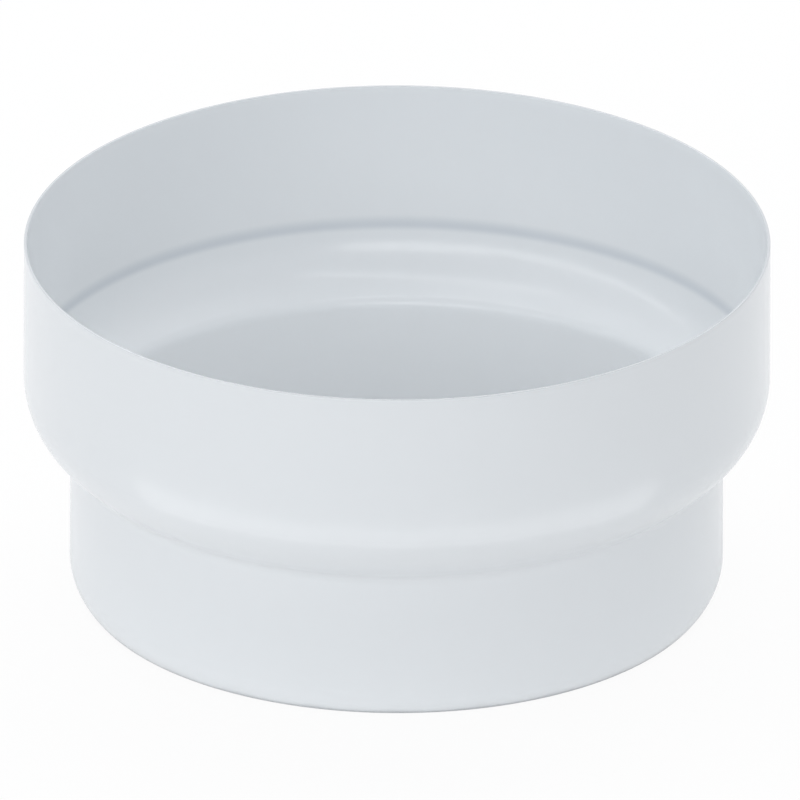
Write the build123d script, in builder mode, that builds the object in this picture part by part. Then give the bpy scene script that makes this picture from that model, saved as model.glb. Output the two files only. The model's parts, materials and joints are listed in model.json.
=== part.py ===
from build123d import *
import math
import os

# Duct reducer: one collar, pressed from sheet steel, that steps a wide round duct down to a narrow one.
# Millimetres. The origin is on the axis, in the plane of the narrow end's edge, and +Z runs up to the wide end.

# Driving dimensions
wide_diameter = 160.0  # outside of the wide collar
narrow_diameter = 140.0  # outside of the narrow spigot
height = 80.0  # over all, along the axis
sheet = 0.6  # the wall, with its enamel on both sides
collar_length = 30.8  # straight wall of the wide collar, along the axis
step_height = 17.6  # S-bend between the two straight walls, along the axis
flank_length = 3.3  # straight slope between the two arcs of the S-bend
root_radius = 3.3  # hollow bend at the foot of the step, outside
lead_in_height = 7.0  # turned-in end of the spigot, along the axis
lead_in_depth = 2.9  # how far that end turns in, outside
trim_turn = 12.0  # degrees of raw edge past the lead-in, cut off square

# The S-bend: two arcs that turn by the same angle, so both walls stay parallel to the axis
step_depth = (wide_diameter - narrow_diameter) / 2
step_turn = 2 * math.atan2(step_depth, step_height + flank_length)
arcs_height = step_height - flank_length * math.cos(step_turn)
shoulder_radius = arcs_height / math.sin(step_turn) - root_radius

# The lead-in: one arc from the straight wall to the edge
lead_in_turn = 2 * math.atan2(lead_in_depth, lead_in_height)
lead_in_radius = lead_in_height / math.sin(lead_in_turn)

with BuildPart() as duct_reducer:
    # Section of the sheet, drawn as its outer line from the wide end down, then thickened inwards
    with BuildSketch(Plane.XZ):
        with BuildLine():
            collar = Line((wide_diameter / 2, height), (wide_diameter / 2, height - collar_length))
            shoulder = JernArc(collar @ 1, collar % 1, shoulder_radius, -math.degrees(step_turn))
            flank = Line(shoulder @ 1, shoulder @ 1 + flank_length * (shoulder % 1))
            root = JernArc(flank @ 1, flank % 1, root_radius, math.degrees(step_turn))
            spigot = Line(root @ 1, (narrow_diameter / 2, lead_in_height))
            JernArc(spigot @ 1, spigot % 1, lead_in_radius, -math.degrees(lead_in_turn) - trim_turn)
            offset(amount=sheet, side=Side.RIGHT)
        make_face()
    revolve(axis=Axis.Z)

    # The raw lower edge is trimmed square to the axis, so the part stands on a narrow flat ring
    split(bisect_by=Plane.XY, keep=Keep.TOP)

duct_reducer.part.label = "duct_reducer"

os.makedirs("parts", exist_ok=True)
export_step(duct_reducer.part, "parts/duct_reducer.step")

print(f"step: turns {math.degrees(step_turn):.1f} degrees, shoulder radius {shoulder_radius:.2f} mm")
print(f"lead-in: turns {math.degrees(lead_in_turn):.1f} degrees, radius {lead_in_radius:.2f} mm")
print(f"volume {duct_reducer.part.volume:.0f} mm3")
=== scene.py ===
# %% [markdown]
# # A white enamelled duct reducer
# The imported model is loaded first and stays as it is. Its box is kept, because the finished piece has
# to fill the same room. Everything below is in metres, in the model's own frame: the part stands on
# z = 0 and its axis is Z.

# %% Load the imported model
import json
import math

import bpy
from mathutils import Matrix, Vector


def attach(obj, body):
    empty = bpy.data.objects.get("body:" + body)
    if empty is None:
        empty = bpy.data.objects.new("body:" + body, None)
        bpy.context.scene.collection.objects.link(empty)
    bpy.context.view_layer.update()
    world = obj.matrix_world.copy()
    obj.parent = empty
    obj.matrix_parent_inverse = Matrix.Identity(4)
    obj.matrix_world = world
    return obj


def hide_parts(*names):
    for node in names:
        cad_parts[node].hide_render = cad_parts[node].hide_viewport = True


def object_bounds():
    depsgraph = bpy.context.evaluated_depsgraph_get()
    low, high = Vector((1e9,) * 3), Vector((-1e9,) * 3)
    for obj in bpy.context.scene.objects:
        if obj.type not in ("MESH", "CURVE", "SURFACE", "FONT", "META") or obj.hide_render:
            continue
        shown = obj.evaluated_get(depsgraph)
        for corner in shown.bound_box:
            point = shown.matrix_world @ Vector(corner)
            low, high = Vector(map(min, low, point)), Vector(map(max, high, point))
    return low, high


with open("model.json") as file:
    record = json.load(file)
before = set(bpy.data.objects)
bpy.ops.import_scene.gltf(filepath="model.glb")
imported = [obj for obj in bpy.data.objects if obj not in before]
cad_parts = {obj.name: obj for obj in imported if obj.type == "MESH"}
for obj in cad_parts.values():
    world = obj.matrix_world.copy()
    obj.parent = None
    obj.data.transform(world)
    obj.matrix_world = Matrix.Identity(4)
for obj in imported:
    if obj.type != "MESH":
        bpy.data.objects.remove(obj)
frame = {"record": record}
cad_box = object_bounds()
print("CAD box", [tuple(round(v, 5) for v in corner) for corner in cad_box])

# %% [markdown]
# ## Sizes
# The two ends of a reducer are made to fit pipe, so their sizes are the ones to trust. They are read
# from the record's mounts: a bore inside the wide collar, and a pin outside each end. The difference of
# the two radii at the wide end is the sheet. Only the bends and the enamelled edge are given here as
# sizes of their own.

# %% Sizes from the record
MILLIMETRE = 0.001
mounts = {mount["name"]: mount for mount in frame["record"]["mounts"]}


def mount_radius(name):
    return mounts[name]["dims"]["r_mm"] * MILLIMETRE


def straight_wall(name):
    """Heights between which a mount's wall is straight."""
    middle = mounts[name]["pos_m"][2]
    half = mounts[name]["dims"]["length_mm"] * MILLIMETRE / 2
    return middle - half, middle + half


height = cad_box[1].z
wide_radius = mount_radius("wide_collar_outside")
narrow_radius = mount_radius("narrow_spigot")
sheet = wide_radius - mount_radius("wide_collar_inside")
shoulder_top = straight_wall("wide_collar_outside")[0]
lead_in_height, spigot_top = straight_wall("narrow_spigot")
flank_length = 3.3 * MILLIMETRE
root_radius = 3.3 * MILLIMETRE
lead_in_depth = 2.9 * MILLIMETRE
edge_round = 0.2 * MILLIMETRE
print(f"radii {wide_radius:.4f} and {narrow_radius:.4f}, sheet {sheet:.4f}, height {height:.4f}")

# %% [markdown]
# ## The line of the sheet
# The real part is pressed from one disc of steel. Its section is a plain line with three bends: a wide
# shoulder, a tight root below it, and a gentle lead-in at the lower end. The shoulder and the root turn
# by the same angle, with a short straight flank between them, so both walls come out parallel to the
# axis. The line is worked out as rings, each a radius and a height, close enough together that the bends
# look smooth. The inside is the same line moved in by the sheet: a bulge gets tighter by it, and a
# hollow gets wider.

# %% Turns and radii of the bends
step_height = shoulder_top - spigot_top
step_turn = 2 * math.atan2(wide_radius - narrow_radius, step_height + flank_length)
arcs_height = step_height - flank_length * math.cos(step_turn)
shoulder_radius = arcs_height / math.sin(step_turn) - root_radius
lead_in_turn = 2 * math.atan2(lead_in_depth, lead_in_height)
lead_in_radius = lead_in_height / math.sin(lead_in_turn)
print(f"step turns {math.degrees(step_turn):.1f} degrees, shoulder radius {shoulder_radius:.5f}")

# %% Rings of the section
WALL_PITCH = 2.2 * MILLIMETRE
TURN_PITCH = math.radians(3.0)


def shares(length, pitch):
    """Even shares of a run, from 0 to 1."""
    count = max(1, round(length / pitch))
    return [i / count for i in range(count + 1)]


def straight(start, end):
    (r0, z0), (r1, z1) = start, end
    return [(r0 + (r1 - r0) * t, z0 + (z1 - z0) * t)
            for t in shares(math.dist(start, end), WALL_PITCH)]


def bulge(radius, top, bend, turn):
    """A bend that starts down a straight wall and turns in towards the axis."""
    return [(radius - bend * (1 - math.cos(turn * t)), top - bend * math.sin(turn * t))
            for t in shares(turn, TURN_PITCH)]


def hollow(radius, bottom, bend, turn):
    """A bend that comes in at a slope and ends down a straight wall."""
    return [(radius + bend * (1 - math.cos(turn * (1 - t))), bottom + bend * math.sin(turn * (1 - t)))
            for t in shares(turn, TURN_PITCH)]


def sheet_line(depth):
    """Rings from the rim to the lower edge, at a depth below the outside."""
    collar, spigot = wide_radius - depth, narrow_radius - depth
    lead_in = lead_in_radius - depth
    shoulder = bulge(collar, shoulder_top, shoulder_radius - depth, step_turn)
    root = hollow(spigot, spigot_top, root_radius + depth, step_turn)
    line = straight((collar, height), (collar, shoulder_top)) + shoulder[1:]
    line += straight(shoulder[-1], root[0])[1:] + root[1:]
    line += straight((spigot, spigot_top), (spigot, lead_in_height))[1:]
    return line + bulge(spigot, lead_in_height, lead_in, math.asin(lead_in_height / lead_in))[1:]


outside = sheet_line(0)
inside = sheet_line(sheet)
print(len(outside), "rings outside and", len(inside), "inside")

# %% [markdown]
# ## Pressing the sheet
# Modelling it by hand starts from the rim: a circle is extruded ring by ring and scaled to each radius,
# as the press draws the metal down. At the lower edge it turns in under the cut and comes back up the
# inside, and a bridge closes the rim. Solidify on the outer wall alone would be quicker, but it leaves
# the lower edge slanted, and the part stands on that edge. A small bevel then rounds the four cut edges,
# as fired enamel does.

# %% Draw the sheet down from the rim and up the inside
SEGMENTS = 256

bpy.ops.object.select_all(action="DESELECT")
bpy.ops.mesh.primitive_circle_add(vertices=SEGMENTS, radius=wide_radius, location=(0, 0, height))
reducer = bpy.context.object
reducer.name = "enamelled_reducer"
bpy.ops.object.transform_apply(location=True, rotation=True, scale=True)
bpy.ops.object.mode_set(mode="EDIT")
bpy.ops.mesh.select_mode(type="EDGE")
bpy.ops.mesh.select_all(action="SELECT")
last_radius, last_height = outside[0]
for ring_radius, ring_height in outside[1:] + inside[::-1]:
    drop = (0, 0, ring_height - last_height)
    bpy.ops.mesh.extrude_region_move(TRANSFORM_OT_translate={"value": drop})
    share = ring_radius / last_radius
    bpy.ops.transform.resize(value=(share, share, 1), center_override=(0, 0, ring_height))
    last_radius, last_height = ring_radius, ring_height

# %% Close the rim
bpy.ops.mesh.select_all(action="DESELECT")
bpy.ops.mesh.select_non_manifold()
bpy.ops.mesh.bridge_edge_loops()
bpy.ops.mesh.select_all(action="SELECT")
bpy.ops.mesh.normals_make_consistent(inside=False)
bpy.ops.object.mode_set(mode="OBJECT")
print("closed sheet has", len(reducer.data.polygons), "faces")

# %% Round the cut edges
EDGE_SEGMENTS = 3
CUT_EDGE_ANGLE = math.radians(30)
SMOOTH_ANGLE = math.radians(40)

rounding = reducer.modifiers.new("enamel_edge", "BEVEL")
rounding.width = edge_round
rounding.segments = EDGE_SEGMENTS
rounding.limit_method = "ANGLE"
rounding.angle_limit = CUT_EDGE_ANGLE
bpy.ops.object.modifier_apply(modifier=rounding.name)
bpy.ops.object.shade_smooth_by_angle(angle=SMOOTH_ANGLE)
triangles = sum(len(face.vertices) - 2 for face in reducer.data.polygons)
print("finished sheet has", triangles, "triangles")

# %% [markdown]
# ## White enamel
# The enamel is a smooth, slightly cool white under a clear glaze, so it has a soft gloss with a sharper
# one on top: the shader's own gloss is the enamel, and its coat is the glaze. A fired coat is never
# quite even. Its tone drifts a little and its gloss varies, over a few centimetres. An image could hold
# that, but noise on Object coordinates needs no unwrapping and has no seam. Both are kept far too weak
# to see as a pattern.

# %% Enamel and glaze
ENAMEL_IOR = 1.5
GLAZE_IOR = 1.5
GLAZE_WEIGHT = 0.7
GLAZE_ROUGHNESS = 0.13

enamel = bpy.data.materials.new("white_enamel")
enamel.use_nodes = True
nodes = enamel.node_tree.nodes
links = enamel.node_tree.links
gloss = nodes["Principled BSDF"]
gloss.inputs["IOR"].default_value = ENAMEL_IOR
gloss.inputs["Coat Weight"].default_value = GLAZE_WEIGHT
gloss.inputs["Coat IOR"].default_value = GLAZE_IOR
gloss.inputs["Coat Roughness"].default_value = GLAZE_ROUGHNESS
place = nodes.new("ShaderNodeTexCoord")

# %% Drift of tone and of gloss
TONE_PER_METRE = 15
GLOSS_PER_METRE = 25
NOISE_DETAIL = 0
COOL_WHITE = (0.771, 0.797, 0.816, 1)
CLEAR_WHITE = (0.777, 0.803, 0.822, 1)
GLOSSIEST = 0.30
DULLEST = 0.36


def enamel_noise(per_metre):
    noise = nodes.new("ShaderNodeTexNoise")
    noise.inputs["Scale"].default_value = per_metre
    noise.inputs["Detail"].default_value = NOISE_DETAIL
    links.new(place.outputs["Object"], noise.inputs["Vector"])
    return noise.outputs["Fac"]


drift = nodes.new("ShaderNodeMix")
drift.data_type = "RGBA"
drift.inputs["A"].default_value = COOL_WHITE
drift.inputs["B"].default_value = CLEAR_WHITE
links.new(enamel_noise(TONE_PER_METRE), drift.inputs["Factor"])

shine = nodes.new("ShaderNodeMapRange")
shine.inputs["To Min"].default_value = GLOSSIEST
shine.inputs["To Max"].default_value = DULLEST
links.new(enamel_noise(GLOSS_PER_METRE), shine.inputs["Value"])
links.new(shine.outputs["Result"], gloss.inputs["Roughness"])
print(f"enamel drifts over {1 / TONE_PER_METRE:.3f} m and its gloss over {1 / GLOSS_PER_METRE:.3f} m")

# %% [markdown]
# ## Painted shade in the inner bend
# Inside, where the wide wall ends and the step begins, a faint grey line runs all the way round. It is
# the shade that falls where the sheet starts to turn, painted into the colour as a grey band. A groove in
# the mesh would show as a dent in the outline, and there is none, so it is only a tone: a soft band by
# height, kept to the inside by the distance from the axis, and mixed over the white.

# %% Painted shade band in the enamel
BEND_SHADE_DROP = 1.8 * MILLIMETRE
FADE_ABOVE = 2.6 * MILLIMETRE
FADE_BELOW = 1.6 * MILLIMETRE
# Painted shade: the grey of the shaded inner bend, mixed into the white colour
PAINTED_BEND_SHADE = (0.63, 0.667, 0.705, 1)
# Shares of the sheet's thickness, from the outside, between which the painted shade comes in
BEND_SHADE_STARTS = 0.4
BEND_SHADE_FULL = 0.6


def between(value, low, high):
    """Smooth 0 to 1 as a value goes from low to high."""
    ramp = nodes.new("ShaderNodeMapRange")
    ramp.interpolation_type = "SMOOTHSTEP"
    ramp.inputs["From Min"].default_value = low
    ramp.inputs["From Max"].default_value = high
    links.new(value, ramp.inputs["Value"])
    return ramp.outputs["Result"]


def both(a, b):
    product = nodes.new("ShaderNodeMath")
    product.operation = "MULTIPLY"
    links.new(a, product.inputs[0])
    links.new(b, product.inputs[1])
    return product.outputs[0]


def tone_over(under, tone, factor):
    """Mix a tone over another one."""
    mix = nodes.new("ShaderNodeMix")
    mix.data_type = "RGBA"
    mix.inputs["B"].default_value = tone
    links.new(under, mix.inputs["A"])
    links.new(factor, mix.inputs["Factor"])
    return mix.outputs["Result"]


# %% Height and distance from the axis
axes = nodes.new("ShaderNodeSeparateXYZ")
links.new(place.outputs["Object"], axes.inputs[0])
across = nodes.new("ShaderNodeCombineXYZ")
links.new(axes.outputs["X"], across.inputs["X"])
links.new(axes.outputs["Y"], across.inputs["Y"])
from_axis = nodes.new("ShaderNodeVectorMath")
from_axis.operation = "LENGTH"
links.new(across.outputs[0], from_axis.inputs[0])

# %% Mix the painted shade over the white
bend_shade_height = shoulder_top - BEND_SHADE_DROP
above = between(axes.outputs["Z"], bend_shade_height + FADE_ABOVE, bend_shade_height)
below = between(axes.outputs["Z"], bend_shade_height - FADE_BELOW, bend_shade_height)
starts_at = wide_radius - BEND_SHADE_STARTS * sheet
full_at = wide_radius - BEND_SHADE_FULL * sheet
within = between(from_axis.outputs["Value"], starts_at, full_at)
# The painted shade of the inner bend goes into the enamel's colour here
bend_shaded_white = tone_over(drift.outputs["Result"], PAINTED_BEND_SHADE, both(both(above, below), within))
print("painted bend shade is at", round(bend_shade_height, 4), "m")

# %% [markdown]
# ## The rim
# The rim's round faces the light above, yet it is to look no lighter than the wall below it. So a grey is
# painted on its round: painted shade in the colour, standing in for less light from above, mixed over
# the white.

# %% Painted shade on the rim
# Painted shade: a grey that darkens the rim's round against the light from above
PAINTED_RIM_SHADE = (0.52, 0.54, 0.56, 1)

rim_shade_share = between(axes.outputs["Z"], height - edge_round, height)
links.new(tone_over(bend_shaded_white, PAINTED_RIM_SHADE, rim_shade_share), gloss.inputs["Base Color"])
reducer.data.materials.clear()
reducer.data.materials.append(enamel)
print("enamel has", len(nodes), "nodes")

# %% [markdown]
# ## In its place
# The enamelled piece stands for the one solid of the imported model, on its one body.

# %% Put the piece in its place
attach(reducer, "root")
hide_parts("duct_reducer")

# %% [markdown]
# ## Camera
# The sides of the part run parallel in the photograph, so the view is a parallel one, from 25 degrees
# above. The scale is set by the wide diameter in pixels of the 800 pixel frame.

# %% Camera
PICTURE_SIDE = 800
WIDE_DIAMETER_PIXELS = 746.6
VIEW_ELEVATION = math.radians(24.99)
VIEW_ROLL = math.radians(0.164)
AIM_RIGHT = 0.0086 * wide_radius
AIM_HEIGHT = 0.5351 * height
CAMERA_DISTANCE = 1.0

camera_data = bpy.data.cameras.new("camera")
camera_data.type = "ORTHO"
camera_data.ortho_scale = 2 * wide_radius * PICTURE_SIDE / WIDE_DIAMETER_PIXELS
camera = bpy.data.objects.new("camera", camera_data)
bpy.context.scene.collection.objects.link(camera)
camera.location = (
    AIM_RIGHT,
    -CAMERA_DISTANCE * math.cos(VIEW_ELEVATION),
    AIM_HEIGHT + CAMERA_DISTANCE * math.sin(VIEW_ELEVATION),
)
tilt = Matrix.Rotation(math.pi / 2 - VIEW_ELEVATION, 4, "X")
camera.rotation_euler = (tilt @ Matrix.Rotation(VIEW_ROLL, 4, "Z")).to_euler()
bpy.context.scene.camera = camera
print("picture is", round(camera_data.ortho_scale, 4), "m wide")

# %% [markdown]
# ## Floor
# The part is shown on plain white, with next to no shadow. A white floor under strong light would do
# that, but it would also throw that light back on the part. So the floor is pale and matt, and white is
# mixed in for the rays that come from the camera. Rays from gloss or glass get some of that white too,
# and the rest keeps the shadow.

# %% Floor
FLOOR_SIDE = 6.0
FLOOR_PALE = (0.8, 0.8, 0.8, 1)
WHITE_SHARES = {"Is Camera Ray": 0.93, "Is Glossy Ray": 0.3, "Is Transmission Ray": 0.3}

bpy.ops.object.select_all(action="DESELECT")
bpy.ops.mesh.primitive_plane_add(size=FLOOR_SIDE, location=(0, 0, 0))
floor = bpy.context.object
floor.name = "floor"
paper = bpy.data.materials.new("white_floor")
paper.use_nodes = True
floor.data.materials.append(paper)
floor_nodes = paper.node_tree.nodes
floor_links = paper.node_tree.links
floor_nodes.clear()


def ray_total(tree_nodes, tree_links, ray_shares):
    """Add up the kinds of ray, each times its share."""
    ray = tree_nodes.new("ShaderNodeLightPath")
    total = None
    for kind, share in ray_shares.items():
        step = tree_nodes.new("ShaderNodeMath")
        step.operation = "MULTIPLY_ADD"
        step.inputs[1].default_value = share
        step.inputs[2].default_value = 0
        tree_links.new(ray.outputs[kind], step.inputs[0])
        if total:
            tree_links.new(total, step.inputs[2])
        total = step.outputs[0]
    return total


matt = floor_nodes.new("ShaderNodeBsdfDiffuse")
matt.inputs["Color"].default_value = FLOOR_PALE
white = floor_nodes.new("ShaderNodeEmission")
blend = floor_nodes.new("ShaderNodeMixShader")
floor_out = floor_nodes.new("ShaderNodeOutputMaterial")
floor_links.new(ray_total(floor_nodes, floor_links, WHITE_SHARES), blend.inputs["Fac"])
floor_links.new(matt.outputs[0], blend.inputs[1])
floor_links.new(white.outputs[0], blend.inputs[2])
floor_links.new(blend.outputs[0], floor_out.inputs["Surface"])
print("floor is", FLOOR_SIDE, "m wide")

# %% [markdown]
# ## Light
# The photograph's light is nearly even, a little stronger from the left, as in a tent of white cloth.
# The world gives most of it. Past the floor's edge the camera would see it grey, so the same three kinds
# of ray see it white.

# %% World
AMBIENT = 0.645
SEEN_WHITE = 1.0
SKY_WHITE = (0.95, 0.97, 1.0, 1)

world = bpy.data.worlds.new("studio")
bpy.context.scene.world = world
world.use_nodes = True
sky_nodes = world.node_tree.nodes
sky_links = world.node_tree.links
sky = sky_nodes["Background"]
sky.inputs["Color"].default_value = SKY_WHITE
sky_strength = sky_nodes.new("ShaderNodeMapRange")
sky_strength.inputs["To Min"].default_value = AMBIENT
sky_strength.inputs["To Max"].default_value = SEEN_WHITE
seen_rays = ray_total(sky_nodes, sky_links, dict.fromkeys(WHITE_SHARES, 1))
sky_links.new(seen_rays, sky_strength.inputs["Value"])
sky_links.new(sky_strength.outputs["Result"], sky.inputs["Strength"])
print("world lights the part at", AMBIENT)

# %% [markdown]
# Soft boxes stand round the part. A brightness of 1 is that of a white wall in full light. The two in
# front light the outside, and the step inside mirrors them as a pale band. The narrow one overhead draws
# a second band below it, and the one behind and above shines into the collar. The box at the left only
# carries the first band on round the right wall, so it is seen in the gloss and lights nothing else.

# %% Soft boxes
BOX_DISTANCE = 1.0


def area_lamp(name, width, tall, brightness):
    lamp = bpy.data.lights.new(name, "AREA")
    lamp.shape = "RECTANGLE"
    lamp.size = width
    lamp.size_y = tall
    lamp.energy = math.pi * width * tall * brightness
    panel = bpy.data.objects.new(name, lamp)
    bpy.context.scene.collection.objects.link(panel)
    panel.visible_camera = False
    return panel


def soft_box(name, azimuth, elevation, width, tall, brightness):
    """A box seen from the part at an azimuth (0 is the camera's side, 90 its right) and an elevation."""
    box = area_lamp(name, width, tall, brightness)
    a, e = math.radians(azimuth), math.radians(elevation)
    box.location = (
        BOX_DISTANCE * math.sin(a) * math.cos(e),
        -BOX_DISTANCE * math.cos(a) * math.cos(e),
        height / 2 + BOX_DISTANCE * math.sin(e),
    )
    box.rotation_euler = (math.pi / 2 - e, 0, a)
    print(f"{name}: {box.data.energy:.2f} W at azimuth {azimuth}, elevation {elevation}")
    return box


soft_box("front_box", azimuth=-6, elevation=24, width=0.80, tall=0.25, brightness=1.9)
soft_box("left_front_box", azimuth=-52, elevation=19, width=0.80, tall=0.28, brightness=1.45)
soft_box("top_front_box", azimuth=-20, elevation=74, width=1.10, tall=0.13, brightness=1.7)
soft_box("top_back_box", azimuth=180, elevation=60, width=1.30, tall=0.80, brightness=2.1)
left_box = soft_box("left_box", azimuth=-98, elevation=18, width=0.80, tall=0.24, brightness=1.4)
left_box.visible_diffuse = False

# %% [markdown]
# A thin strip of light held close to a glossy bend draws a bright line along it. An arc of strips below
# the shoulder does that, and lights nothing else. A full ring of strips lies on the floor round the foot
# and faces up, as a light table does. It fills the turned-in edge and the root of the step with soft
# light and leaves no mirror image.

# %% Strips of light
FACING_IN = math.pi / 2
FACING_UP = math.pi


def strip_arc(name, facing, count, spread, reach, level, tall, brightness):
    """Strips in an arc centred on the part's front, upright and facing its axis, or flat and facing up."""
    strips = []
    for k in range(count):
        turn = math.radians(spread) * ((k + 0.5) / count - 0.5)
        strip = area_lamp(f"{name}_{k}", reach * math.radians(spread) / count, tall, brightness)
        strip.location = (reach * math.sin(turn), -reach * math.cos(turn), level)
        strip.rotation_euler = (facing, 0, turn)
        strips.append(strip)
    print(f"{name}: {count} strips, {reach:.3f} m from the axis")
    return strips


shoulder_strips = strip_arc(
    "shoulder_strip", FACING_IN, count=5, spread=104, reach=wide_radius + 12 * MILLIMETRE,
    level=shoulder_top - 14.7 * MILLIMETRE, tall=18 * MILLIMETRE, brightness=0.71,
)
for strip in shoulder_strips:
    strip.visible_diffuse = False

foot_strips = strip_arc(
    "foot_strip", FACING_UP, count=24, spread=360, reach=narrow_radius + 11.5 * MILLIMETRE,
    level=0.5 * MILLIMETRE, tall=27 * MILLIMETRE, brightness=0.32,
)
for strip in foot_strips:
    strip.visible_glossy = False

# %% [markdown]
# ## Colour view
# The visual model has to fill the CAD model's box and no more. Here the colours are shown through the
# Standard view transform.

# %% Standard view transform
bpy.context.scene.view_settings.view_transform = "Standard"
